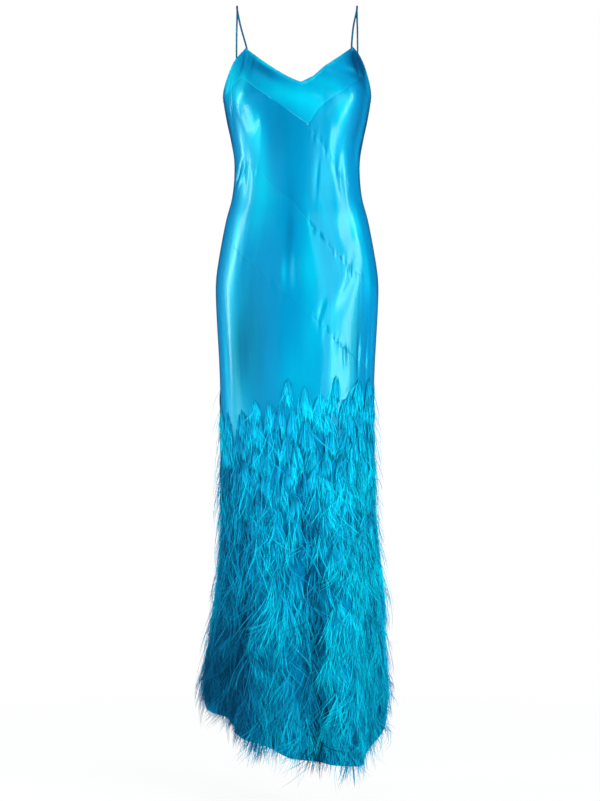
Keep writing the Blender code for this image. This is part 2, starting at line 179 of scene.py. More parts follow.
def sectionColumn(drop, column):
    # cubic through the rows of sections, each with the slope between its two neighbours
    x, y = form["sections"][:, 0], form["sections"][:, column]
    k = np.arange(len(x))
    before, after = np.maximum(k - 1, 0), np.minimum(k + 1, len(x) - 1)
    slope = (y[after] - y[before]) / (x[after] - x[before])
    d = np.clip(drop, x[0], x[-1])
    i = np.clip(np.searchsorted(x, d, side="right") - 1, 0, len(x) - 2)
    span = x[i + 1] - x[i]
    t = (d - x[i]) / span
    fromHere = (2 * t**3 - 3 * t**2 + 1) * y[i] + (t**3 - 2 * t**2 + t) * span * slope[i]
    fromNext = (3 * t**2 - 2 * t**3) * y[i + 1] + (t**3 - t**2) * span * slope[i + 1]
    return fromHere + fromNext


def bell(offset, spread):
    # one at the middle, falling off as the exponential of minus the square
    return np.exp(-(offset / spread) ** 2)


def turnBetween(turn, centre):
    # the turn from a centre, the short way round
    return (turn - centre + 180.0) % 360.0 - 180.0


def swell(turn, drop):
    # bells over the bust, and flutes that grow with the drop to their depth at the hem
    out = np.zeros(np.broadcast(turn, drop).shape)
    for t, d, turnSpread, dropSpread, height in form["mounds"]:
        out = out + height * bell(turnBetween(turn, t), turnSpread) * bell(drop - d, dropSpread)
    for t, turnSpread, starts, depth in form["flutes"]:
        grown = np.maximum(0.0, (drop - starts) / (form["hemDrop"] - starts))
        share = np.minimum(grown ** form["fluteGrowth"], form["fluteMost"])
        out = out + depth * share * bell(turnBetween(turn, t), turnSpread)
    return out


def skin(turn, drop):
    # a rounded rectangle of the section's half width and depths, plus the swell, outwards
    angle = np.radians(turn)
    across, ahead = np.sin(angle), np.cos(angle)
    power = 2.0 / form["squareness"]
    depth = np.where(ahead > 0, sectionColumn(drop, 2), sectionColumn(drop, 3))
    x = sectionColumn(drop, 4) + sectionColumn(drop, 1) * np.copysign(abs(across) ** power, across)
    y = -depth * np.copysign(abs(ahead) ** power, ahead)
    out = swell(turn, drop)
    z = -np.broadcast_to(drop, out.shape)
    return np.stack([x + out * across, y - out * ahead, z], axis=-1)


def outward(turn, drop):
    # unit cross product of the skin's two small steps, down and round
    aside, below = form["normalSteps"]
    roundIt = skin(turn + aside, drop) - skin(turn - aside, drop)
    downIt = skin(turn, drop + below) - skin(turn, drop - below)
    normal = np.cross(downIt, roundIt)
    return normal / np.linalg.norm(normal, axis=-1, keepdims=True)


def onCloth(turn, drop, out):
    # a point off the skin along its normal; past the hem it hangs straight down
    past = np.maximum(0.0, drop - lineDrop("hem", turn))
    place = skin(turn, drop - past) + outward(turn, drop - past) * np.asarray(out)[..., None]
    place[..., 2] -= past
    return place


def puckerRows():
    # rows of creases along each run of a seam, with seeded uneven spacing, length and depth
    spread = puckerSpread
    chance = np.random.default_rng(spread["seed"])
    rows = []
    for seam, first, last, number, halfLength, depth in puckerRuns:
        step = (last - first) / number
        turn = first + step * (np.arange(number) + chance.uniform(*spread["place"], number))
        size = chance.uniform(*spread["size"], number)
        below = chance.uniform(*spread["below"], number) * halfLength
        ridge = np.where(np.arange(number) % spread["ridgeEvery"], 1, spread["ridge"])
        rows.append(np.stack([
            turn,
            lineDrop(seam, turn) + below,
            chance.uniform(*spread["lean"], number),
            halfLength * size,
            chance.uniform(*spread["halfWidth"], number),
            depth * chance.uniform(*spread["depth"], number) * ridge,
        ], axis=1))
    return np.concatenate(rows)


def creaseOut(turn, drop, rows):
    # sum of bells: along the crease by its half length, across it by its half width
    out = np.zeros(turn.shape)
    for t, d, lean, halfLength, halfWidth, depth in rows:
        side = turnBetween(turn, t) * mmPerTurn
        down = drop - d
        c, s = np.cos(np.radians(lean)), np.sin(np.radians(lean))
        out -= depth * bell(side * c - down * s, halfWidth) * bell(down * c + side * s, halfLength)
    return out


def addMesh(name, points, polygons, material, uv=None):
    # one mesh from points in mm and a list of face arrays, each with a fixed number of corners
    mesh = bpy.data.meshes.new(name)
    points = np.asarray(points, float).reshape(-1, 3) * mm
    loops = np.concatenate([p.ravel() for p in polygons]).astype(np.int32)
    sizes = np.concatenate([np.full(len(p), p.shape[1]) for p in polygons]).astype(np.int32)
    mesh.vertices.add(len(points))
    mesh.vertices.foreach_set("co", points.ravel())
    mesh.loops.add(len(loops))
    mesh.loops.foreach_set("vertex_index", loops)
    mesh.polygons.add(len(sizes))
    mesh.polygons.foreach_set("loop_start", np.cumsum(sizes) - sizes)
    mesh.polygons.foreach_set("use_smooth", np.ones(len(sizes), bool))
    if uv is not None:
        layer = mesh.uv_layers.new(name="along")
        layer.data.foreach_set("uv", np.asarray(uv, float).reshape(-1, 2)[loops].ravel())
    mesh.update(calc_edges=True)
    mesh.validate()
    mesh.materials.append(material)
    piece = bpy.data.objects.new(name, mesh)
    bpy.context.scene.collection.objects.link(piece)
    return piece


def gridFaces(columns, rows):
    # quads of a grid whose first index runs round and whose second runs down, facing out
    c, r = np.meshgrid(np.arange(columns - 1), np.arange(rows - 1), indexing="ij")
    a = (c * rows + r).ravel()
    return np.stack([a, a + 1, a + rows + 1, a + rows], axis=1)


# Colours are linear. Pattern scales are to the metre of cloth, across and down it, and the
# heights of bumps are in metres.
satinLook = {
    "shades": [(0.0, (0.000, 0.026, 0.100)), (0.5, (0.000, 0.152, 0.330)),
               (1.0, (0.000, 0.350, 0.500))],
    "drift": 0.22,
    "driftScale": (26, 3.5, 1),
    "driftDetail": 3.0,
    # the painted shade of the satin where the fringe lies over it
    "paintedShadeUnderFringe": (0.000, 0.110, 0.270),
    "roughness": 0.42,
    "coveredRoughness": 0.85,
    "ior": 1.75,
    "tint": (0.0, 0.97, 0.95),
    "coat": 0.14,
    "coatRoughness": 0.16,
    "anisotropic": 0.45,
    "threadsPerMetre": 2600.0,
    "threadTurn": 45,
    "threadWander": 1.5,
    "threadBump": 0.05,
    "threadHeight": 0.0002,
    "wrinkleScale": (95, 8, 1),
    "wrinkleDetail": 2.0,
    "wrinkleBump": 0.36,
    "wrinkleHeight": 0.0012,
}


def newMaterial(name):
    # a material, its nodes and links, and its shader
    made = bpy.data.materials.new(name)
    made.use_nodes = True
    return made, made.node_tree.nodes, made.node_tree.links, made.node_tree.nodes["Principled BSDF"]


def addRamp(nodes, shades):
    # a colour ramp with a stop for each row of position and colour
    ramp = nodes.new("ShaderNodeValToRGB")
    for position, colour in shades[1:-1]:
        ramp.color_ramp.elements.new(position)
    for element, (position, colour) in zip(ramp.color_ramp.elements, shades):
        element.position = position
        element.color = (*colour, 1)
    return ramp


def satinMaterial(name, grain, shineTurn, plainTone=None):
    # satin on the bias: the panel's tone with its painted highlights and painted shade, plus a
    # drift of noise along the grain, gives the colour; under the fringe it takes a painted shade
    # and goes matt;
    # fine threads and wrinkles are bump
    made, nodes, links, shader = newMaterial(name)
    uv = nodes.new("ShaderNodeUVMap")
    uv.uv_map = "along"
    turned = nodes.new("ShaderNodeMapping")
    turned.inputs["Rotation"].default_value = (0, 0, np.radians(grain))
    turned.inputs["Scale"].default_value = satinLook["driftScale"]
    links.new(uv.outputs["UV"], turned.inputs["Vector"])
    drift = nodes.new("ShaderNodeTexNoise")
    drift.inputs["Scale"].default_value = 1.0
    drift.inputs["Detail"].default_value = satinLook["driftDetail"]
    links.new(turned.outputs["Vector"], drift.inputs["Vector"])
    tone = nodes.new("ShaderNodeMath")
    tone.operation = "MULTIPLY_ADD"
    tone.inputs[1].default_value = satinLook["drift"]
    links.new(drift.outputs["Fac"], tone.inputs[0])
    # the tone with its painted highlights and painted shade, or a plain tone for the straps
    if plainTone is None:
        paintedLightTone = nodes.new("ShaderNodeAttribute")
        paintedLightTone.attribute_name = "paintedLight"
        links.new(paintedLightTone.outputs["Fac"], tone.inputs[2])
    else:
        tone.inputs[2].default_value = plainTone
    ramp = addRamp(nodes, satinLook["shades"])
    links.new(tone.outputs["Value"], ramp.inputs["Fac"])
    # where the fringe lies over the cloth it takes a painted shade, turns matt and loses its coat
    cover = nodes.new("ShaderNodeAttribute")
    cover.attribute_name = "cover"
    shade = nodes.new("ShaderNodeMix")
    shade.data_type = "RGBA"
    links.new(cover.outputs["Fac"], shade.inputs["Factor"])
    links.new(ramp.outputs["Color"], shade.inputs["A"])
    shade.inputs["B"].default_value = (*satinLook["paintedShadeUnderFringe"], 1)
    links.new(shade.outputs["Result"], shader.inputs["Base Color"])
    matt = nodes.new("ShaderNodeMapRange")
    matt.inputs["To Min"].default_value = satinLook["roughness"]
    matt.inputs["To Max"].default_value = satinLook["coveredRoughness"]
    links.new(cover.outputs["Fac"], matt.inputs["Value"])
    links.new(matt.outputs["Result"], shader.inputs["Roughness"])
    shader.inputs["IOR"].default_value = satinLook["ior"]
    shader.inputs["Specular Tint"].default_value = (*satinLook["tint"], 1)
    shader.inputs["Anisotropic Rotation"].default_value = shineTurn
    bare = nodes.new("ShaderNodeMapRange")
    bare.inputs["To Min"].default_value = satinLook["coat"]
    bare.inputs["To Max"].default_value = 0.0
    links.new(cover.outputs["Fac"], bare.inputs["Value"])
    links.new(bare.outputs["Result"], shader.inputs["Coat Weight"])
    shader.inputs["Coat Roughness"].default_value = satinLook["coatRoughness"]
    shader.inputs["Anisotropic"].default_value = satinLook["anisotropic"]
    tangent = nodes.new("ShaderNodeTangent")
    tangent.direction_type = "UV_MAP"
    tangent.uv_map = "along"
    links.new(tangent.outputs["Tangent"], shader.inputs["Tangent"])
    threads = nodes.new("ShaderNodeTexWave")
    # the wave texture goes through 20 radians for each unit of its scale
    threads.inputs["Scale"].default_value = satinLook["threadsPerMetre"] * 2 * np.pi / 20
    threads.inputs["Distortion"].default_value = satinLook["threadWander"]
    threadTurn = nodes.new("ShaderNodeMapping")
    threadTurn.inputs["Rotation"].default_value = (
        0, 0, np.radians(satinLook["threadTurn"] + grain))
    links.new(uv.outputs["UV"], threadTurn.inputs["Vector"])
    links.new(threadTurn.outputs["Vector"], threads.inputs["Vector"])
    threadBump = nodes.new("ShaderNodeBump")
    threadBump.inputs["Strength"].default_value = satinLook["threadBump"]
    threadBump.inputs["Distance"].default_value = satinLook["threadHeight"]
    links.new(threads.outputs["Fac"], threadBump.inputs["Height"])
    wrinkles = nodes.new("ShaderNodeTexNoise")
    wrinkles.inputs["Scale"].default_value = 1.0
    wrinkles.inputs["Detail"].default_value = satinLook["wrinkleDetail"]
    stretched = nodes.new("ShaderNodeMapping")
    stretched.inputs["Scale"].default_value = satinLook["wrinkleScale"]
    links.new(uv.outputs["UV"], stretched.inputs["Vector"])
    links.new(stretched.outputs["Vector"], wrinkles.inputs["Vector"])
    wrinkleBump = nodes.new("ShaderNodeBump")
    wrinkleBump.inputs["Strength"].default_value = satinLook["wrinkleBump"]
    wrinkleBump.inputs["Distance"].default_value = satinLook["wrinkleHeight"]
    links.new(wrinkles.outputs["Fac"], wrinkleBump.inputs["Height"])
    links.new(threadBump.outputs["Normal"], wrinkleBump.inputs["Normal"])
    links.new(wrinkleBump.outputs["Normal"], shader.inputs["Normal"])
    return made


featherLook = {
    "shades": [(0.0, (0.000, 0.022, 0.068)), (0.40, (0.000, 0.126, 0.272)),
               (0.75, (0.000, 0.325, 0.535)), (1.0, (0.000, 0.610, 0.780))],
    "tipLift": 0.18,
    "roughness": 0.6,
    "specular": 0.03,
    "sheen": 0.03,
    "sheenTint": (0.1, 0.85, 1.0),
}


def featherMaterial():
    # a barb's own shade is in U, and V runs from its root, which is darker, to its tip
    made, nodes, links, shader = newMaterial("ostrichFeather")
    uv = nodes.new("ShaderNodeUVMap")
    uv.uv_map = "along"
    split = nodes.new("ShaderNodeSeparateXYZ")
    links.new(uv.outputs["UV"], split.inputs["Vector"])
    tip = nodes.new("ShaderNodeMath")
    tip.operation = "MULTIPLY_ADD"
    tip.inputs[1].default_value = featherLook["tipLift"]
    links.new(split.outputs["Y"], tip.inputs[0])
    links.new(split.outputs["X"], tip.inputs[2])
    ramp = addRamp(nodes, featherLook["shades"])
    links.new(tip.outputs["Value"], ramp.inputs["Fac"])
    links.new(ramp.outputs["Color"], shader.inputs["Base Color"])
    shader.inputs["Roughness"].default_value = featherLook["roughness"]
    shader.inputs["Specular IOR Level"].default_value = featherLook["specular"]
    shader.inputs["Sheen Weight"].default_value = featherLook["sheen"]
    shader.inputs["Sheen Tint"].default_value = (*featherLook["sheenTint"], 1)
    return made


# Satin panels: the frame's node, upper and lower line, turns, grid, grain of the cut, tone (the
# satin's own tone, lighter or darker per panel as a painted sheen of its grain), turn of the shine,
# whether the top and the bottom are free edges, and the cut in metres
panels = {
    "satinYoke": {"node": "front_yoke", "top": "frontTop", "bottom": "yoke",
                  "turns": (-90, 90), "columns": 231, "rows": 26, "grain": 0, "tone": 0.50,
                  "shineTurn": 0.0, "free": (True, False), "flat": (0.44, 0.17), "area": 0.025},
    "satinInset": {"node": "front_inset", "top": "yoke", "bottom": "inset",
                   "turns": (7.62, 90), "columns": 101, "rows": 44, "grain": 30, "tone": 0.38,
                   "shineTurn": 0.25, "free": (False, False), "flat": (0.18, 0.29),
                   "area": 0.029},
    "satinWaist": {"node": "front_waist", "top": "underYoke", "bottom": "waist",
                   "turns": (-90, 90), "columns": 221, "rows": 48, "grain": -35, "tone": 0.34,
                   "shineTurn": 0.25, "free": (False, False), "flat": (0.44, 0.45),
                   "area": 0.067},
    "satinHip": {"node": "front_hip", "top": "waist", "bottom": "hip",
                 "turns": (-90, 90), "columns": 221, "rows": 48, "grain": -35, "tone": 0.40,
                 "shineTurn": 0.25, "free": (False, False), "flat": (0.44, 0.51),
                 "area": 0.074},
    "satinFrontSkirt": {"node": "front_skirt", "top": "hip", "bottom": "hem",
                        "turns": (-90, 90), "columns": 131, "rows": 62, "grain": -35,
                        "tone": 0.38, "shineTurn": 0.25, "free": (False, True),
                        "flat": (0.56, 1.10), "area": 0.40},
    "satinBack": {"node": "back_panel", "top": "backTop", "bottom": "hem",
                  "turns": (90, 270), "columns": 121, "rows": 90, "grain": 35, "tone": 0.38,
                  "shineTurn": 0.25, "free": (True, True), "flat": (0.56, 1.33), "area": 0.55},
}
clothShell = {
    "thickness": 0.7,
    "seamGap": 0.06, "seamDip": 0.13, "seamReach": 1.6, "seamIn": 3.0,
    "rollHeight": 1.2, "rollIn": 2.6, "rollWidth": 1.8,
    "edgeRows": (0.0, 0.6, 1.6, 3.2, 6.0),
    # where the painted shade and the matt finish under the fringe begin and where they are full, in
    # mm
    "coveredFrom": 15.0, "coveredBy": 100.0,  # below the fringe's top line
}
allCreases = np.concatenate([creases, puckerRows()])


def edgeDrop(name, turn):
    # the waist panel starts under the yoke, and under the inset from the yoke's point on
    if name != "underYoke":
        return lineDrop(name, turn)
    start = lines["inset"][0][0]
    return np.where(turn <= start, lineDrop("yoke", turn), lineDrop("inset", turn))


def panelGrid(p):
    # columns at even turns; rows crowd at both edges, then are even between them
    side = clothShell["seamGap"] / mmPerTurn
    turn = np.linspace(p["turns"][0] + side, p["turns"][1] - side, p["columns"])
    top, bottom = edgeDrop(p["top"], turn), edgeDrop(p["bottom"], turn)
    height = bottom - top - 2 * clothShell["seamGap"]
    near = np.array(clothShell["edgeRows"])
    fit = np.minimum(1.0, height / (4 * near[-1]))[:, None]  # a quarter of the height at most
    first = near * fit
    between = np.linspace(0, 1, p["rows"] - 2 * len(near) + 2)[1:-1]
    middle = first[:, -1:] + (height[:, None] - 2 * first[:, -1:]) * between
    last = height[:, None] - first[:, ::-1]
    down = np.concatenate([first, middle, last], axis=1)
    drop = top[:, None] + clothShell["seamGap"] + down
    return np.broadcast_to(turn[:, None], drop.shape), drop, down, height[:, None] - down


def turnedIn(values, atStart, atEnd):
    # repeats the first and the last value along the second axis where a seam turns in
    first = [values[:, :1]] if atStart else []
    last = [values[:, -1:]] if atEnd else []
    return np.concatenate(first + [values] + last, axis=1)


def panelPiece(name, p):
    # skin, plus creases, minus a small dip beside a seam, plus a soft roll at a free edge;
    # past each seam one more row of points turns straight in
    turn, drop, fromTop, fromBottom = panelGrid(p)
    reach, dip = clothShell["seamReach"], clothShell["seamDip"]
    faceTurn = 0.0 if p["turns"][1] == sideTurn else 180.0
    fromSide = (sideTurn - abs(turnBetween(turn, faceTurn))) * mmPerTurn
    out = creaseOut(turn, drop, allCreases) - dip * np.exp(-fromSide / reach)
    for distance, isFree in zip((fromTop, fromBottom), p["free"]):
        if isFree:
            roll = bell(distance - clothShell["rollIn"], clothShell["rollWidth"])
            out = out + clothShell["rollHeight"] * roll
        else:
            out = out - dip * np.exp(-distance / reach)
    seams = [not isFree for isFree in p["free"]]
    turn, drop, out = (turnedIn(v, *seams) for v in (turn, drop, out))
    out[:, 0] -= clothShell["seamIn"] * seams[0]
    out[:, -1] -= clothShell["seamIn"] * seams[1]
    turn, drop, out = (turnedIn(v.T, True, True).T for v in (turn, drop, out))
    out[[0, -1]] -= clothShell["seamIn"]
    points = skin(turn, drop) + outward(turn, drop) * out[..., None]
    uv = np.stack([turn * mmPerTurn * mm, drop * mm], axis=-1)
    piece = addMesh(name, points, [gridFaces(*turn.shape)],
                    satinMaterial(name + "Finish", p["grain"], p["shineTurn"]), uv)
    # how far the fringe lies over the cloth, which sets its painted shade
    below = drop - lineDrop("featherTop", turn) - clothShell["coveredFrom"]
    cover = np.clip(below / (clothShell["coveredBy"] - clothShell["coveredFrom"]), 0.0, 1.0)
    # the panel's tone, plus painted highlights and minus painted shade from the spots
    paintedLight = p["tone"] - creaseOut(turn, drop, paintedLightSpots)
    for label, values in (("cover", cover), ("paintedLight", paintedLight)):
        layer = piece.data.attributes.new(label, "FLOAT", "POINT")
        layer.data.foreach_set("value", values.ravel())
    shell = piece.modifiers.new("thickness", "SOLIDIFY")
    shell.thickness = clothShell["thickness"] * mm
    shell.offset = -1
    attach(piece, "root")
    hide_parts(p["node"])
    return piece


satinPieces = {name: panelPiece(name, p) for name, p in panels.items()}
print("satin panels:", len(satinPieces))

# Rolled straps, from a peak of the front over the shoulder to the back edge
straps = {
    "radius": 1.9, "sides": 12, "steps": 90, "inside": 4.1, "sewn": 14.0, "shoulder": 123.0,
    "seamTwist": 2.2, "seamDepth": 0.10, "seamWidth": 0.35,  # radians, share of the radius, radians
    "grain": 0, "shineTurn": 0.25, "tone": -0.12,
    # in from the shoulder, back and up
    "route": [(8.5, -33, -46), (1, -12, -9), (0, 0, 2), (0, 13, -7), (-2, 40, -52), (-2, 57, -118)],
    "left": {"side": -1, "front": -46.0, "back": 232.5},
    "right": {"side": 1, "front": 52.5, "back": 127.5},
}


def smoothRoute(knots, count):
    # a cubic through each pair of knots, with slopes from the knots on either side
    ends = np.concatenate([[2 * knots[0] - knots[1]], knots, [2 * knots[-1] - knots[-2]]])
    place = np.linspace(0, len(knots) - 1, count)
    i = np.minimum(place.astype(int), len(knots) - 2)
    t = (place - i)[:, None]
    a, b, c, d = ends[i], ends[i + 1], ends[i + 2], ends[i + 3]
    return 0.5 * (2 * b + (c - a) * t + (2 * a - 5 * b + 4 * c - d) * t**2
                  + (3 * b - a - 3 * c + d) * t**3)


def strapPiece(name, s, material):
    # a circle carried along the route, with a shallow seam line that turns slowly round it
    frontEdge, backEdge = lineDrop("frontTop", s["front"]), lineDrop("backTop", s["back"])
    frontDrops = np.array([frontEdge + straps["sewn"], frontEdge])
    backDrops = np.array([backEdge - straps["sewn"], backEdge + straps["sewn"]])
    front, back = (skin(turn, drops) - outward(turn, drops) * straps["inside"]
                   for turn, drops in ((s["front"], frontDrops), (s["back"], backDrops)))
    over = np.array([(s["side"] * (straps["shoulder"] - n), y, z) for n, y, z in straps["route"]])
    route = smoothRoute(np.concatenate([front, over, back]), straps["steps"])
    along = np.gradient(route, axis=0)
    reach = np.cumsum(np.linalg.norm(along, axis=1))
    along /= np.linalg.norm(along, axis=1, keepdims=True)
    across = np.cross(along, (1.0, 0.0, 0.0))
    across /= np.linalg.norm(across, axis=1, keepdims=True)
    third = np.cross(along, across)
    angle = np.linspace(0, 2 * np.pi, straps["sides"], endpoint=False)
    twist = np.linspace(0, straps["seamTwist"], straps["steps"])[:, None]
    seam = bell(angle[None] - np.pi - twist, straps["seamWidth"])
    radius = straps["radius"] * (1 - straps["seamDepth"] * seam)
    ring = (across[:, None] * np.cos(angle)[None, :, None]
            + third[:, None] * np.sin(angle)[None, :, None])
    points = route[:, None] + ring * radius[..., None]
    k, j = np.meshgrid(np.arange(straps["steps"] - 1), np.arange(straps["sides"]), indexing="ij")
    nextJ = (j + 1) % straps["sides"]
    a, b = k * straps["sides"] + j, k * straps["sides"] + nextJ
    quads = np.stack([a, b, b + straps["sides"], a + straps["sides"]], axis=-1).reshape(-1, 4)
    caps = np.stack([np.arange(straps["sides"])[::-1],
                     np.arange(straps["sides"]) + (straps["steps"] - 1) * straps["sides"]])
    fold = abs(angle - np.pi) * straps["radius"]
    uv = np.stack(np.broadcast_arrays(fold[None] * mm, reach[:, None] * mm), axis=-1)
    piece = addMesh(name, points, [quads, caps], material, uv)
    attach(piece, "root")
    return piece


strapFinish = satinMaterial("strapFinish", straps["grain"], straps["shineTurn"], straps["tone"])
for key in ("left", "right"):
    strap = strapPiece("strap" + key.capitalize(), straps[key], strapFinish)
    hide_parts("strap_" + key)
print("straps done")

# Feather fringe: plumes sewn on tier by tier. A plume has broad soft blades, fine barbs that
# run together in locks, a few long loose strands, and strays that stand off the gown.
fringe = {
    "tiers": 8,
    "lastAboveHem": 90.0,
    "seed": 11,
    "rootOff": 0.8,
    "lowestSlope": 1400.0,  # drop past which a plume's strands face as they do there
    "leanSpread": 8, "lengths": (0.75, 1.25), "lifts": (0.45, 1.25),  # a plume's share of its row's
    "levelStep": 0.618, "levelJitter": 0.12,  # scatter of the roots between two tiers' lines
    # how a strand strays from its lock, and how a lock is drawn, for every kind
    "strayStart": 0.30, "strayEnd": 0.25, "strayLength": 0.1, "strayLift": 0.08,
    "strayPhase": 0.5, "strayApart": 1.3, "straighten": 0.65, "swing": (0.3, 1.3),
    "lockRank": 0.8, "strayRank": 0.3, "girths": (0.7, 1.2), "waves": 5.0,
    "widening": (0.2, 1.1), "drawnIn": 0.5, "plumeShade": 0.36, "lockShade": 0.50,
    # rings along a strand and its girth at them, locks in a plume, shares of the plume's length,
    # fan, shares of its lift, more lift in mm, half width, thickness, bend, wave in mm, shades,
    # a strand's own shade, and its root's spread along the quill and apart in mm
    "kinds": {
        "blade": {"rings": (0.0, 0.40, 0.75, 1.0), "girth": (0.20, 1.0, 0.80), "locks": 40,
                  "long": (0.55, 0.95), "fan": 0.8, "lift": (0.30, 0.95), "extra": (0, 0),
                  "width": 2.3, "thick": 0.2, "bend": 0.5, "wave": 0.6, "shade": (0.16, 0.74),
                  "ownShade": 0.08, "quill": 24.0, "apart": 4.4},
        "barb": {"rings": (0.0, 0.4, 0.75, 1.0), "girth": (0.75, 1.0, 0.8), "locks": 6,
                 "long": (0.62, 1.08), "fan": 1.0, "lift": (0.05, 0.85), "extra": (0, 0),
                 "width": 0.68, "thick": 0.28, "bend": 0.8, "wave": 2.6, "shade": (0.08, 0.88),
                 "ownShade": 0.18, "quill": 28.0, "apart": 4.2},
        "strand": {"rings": (0.0, 0.3, 0.55, 0.8, 1.0), "girth": (0.8, 1.0, 0.9, 0.6), "locks": 4,
                   "long": (0.80, 1.25), "fan": 1.2, "lift": (0.6, 1.1), "extra": (1, 5),
                   "width": 0.52, "thick": 0.4, "bend": 1.5, "wave": 7.0, "shade": (0.40, 1.00),
                   "ownShade": 0.42, "quill": 30.0, "apart": 4.0},
        "stray": {"rings": (0.0, 0.3, 0.55, 0.8, 1.0), "girth": (0.8, 1.0, 0.9, 0.6), "locks": 3,
                  "long": (0.60, 1.60), "fan": 1.8, "lift": (0.6, 1.1), "extra": (0, 17),
                  "width": 0.52, "thick": 0.4, "bend": 2.4, "wave": 9.0, "shade": (0.20, 0.90),
                  "ownShade": 0.30, "quill": 20.0, "apart": 4.0},
    },
    # a tier's plumes; blades, barbs, strands and strays in each; length, fan, lift, spread of
    # the roots between two lines, tone, and how broad its strands are
    "rows": [
        (80, (24, 14, 1, 1), 66, 9, 2.2, 0.45, 0.09, 1.20),
        (90, (24, 18, 1, 2), 72, 10, 4.5, 0.62, 0.05, 1.25),
        (90, (22, 24, 2, 3), 76, 12, 5.5, 0.60, 0.04, 1.20),
        (88, (17, 32, 4, 4), 82, 13, 6.5, 0.60, 0.03, 1.15),
        (86, (11, 44, 7, 4), 88, 15, 6.5, 0.60, 0.02, 0.95),
        (86, (7, 46, 10, 4), 92, 16, 6.5, 0.60, 0.00, 0.82),
        (86, (6, 46, 11, 5), 94, 16, 6.0, 0.60, -0.05, 0.80),
        (86, (6, 46, 12, 8), 92, 16, 5.5, 0.45, -0.09, 0.80),
    ],
}

# Painted shade and painted light on the fringe: darker in the flutes' valleys and over the lower
# left, lighter on their ridges, on the right and at the upper left; in rows of the same kind
fringePaintedLight = np.array([
    (11, 1270, 3, 260, 12, -0.64), (12, 1470, 0, 90, 9, -0.55), (-33, 1350, 4, 130, 18, -0.45),
    (-60, 1380, 0, 330, 90, -0.50), (-20, 1180, -4, 160, 16, 0.12),
    (34, 1200, 2, 380, 60, 0.17), (2, 880, 0, 110, 90, 0.05),
    (-62, 980, 0, 170, 60, -0.06), (64, 930, 0, 160, 40, 0.10), (-72, 860, 0, 60, 40, 0.16),
    (50, 1350, 0, 160, 14, -0.16), (-5, 1400, 0, 120, 14, 0.04), (24, 1420, 4, 90, 12, 0.12),
    (112, 1250, 0, 260, 16, -0.20), (158, 1250, 0, 260, 16, -0.20), (205, 1250, 0, 260, 16, -0.20),
    (250, 1250, 0, 260, 16, -0.20), (134, 1150, 0, 260, 20, 0.12), (181, 1150, 0, 260, 20, 0.12),
], float)


def tapeDrop(tier, turn):
    # drop of a tier, evenly between the feathers' top line and the last one above the hem
    first = lineDrop("featherTop", turn)
    last = lineDrop("hem", turn) - fringe["lastAboveHem"]
    return first + (last - first) * tier / (fringe["tiers"] - 1)


def perLock(lock, drawn, own):
    # each strand's share of what its lock drew, plus its own
    return np.take_along_axis(drawn, lock, axis=1) + own


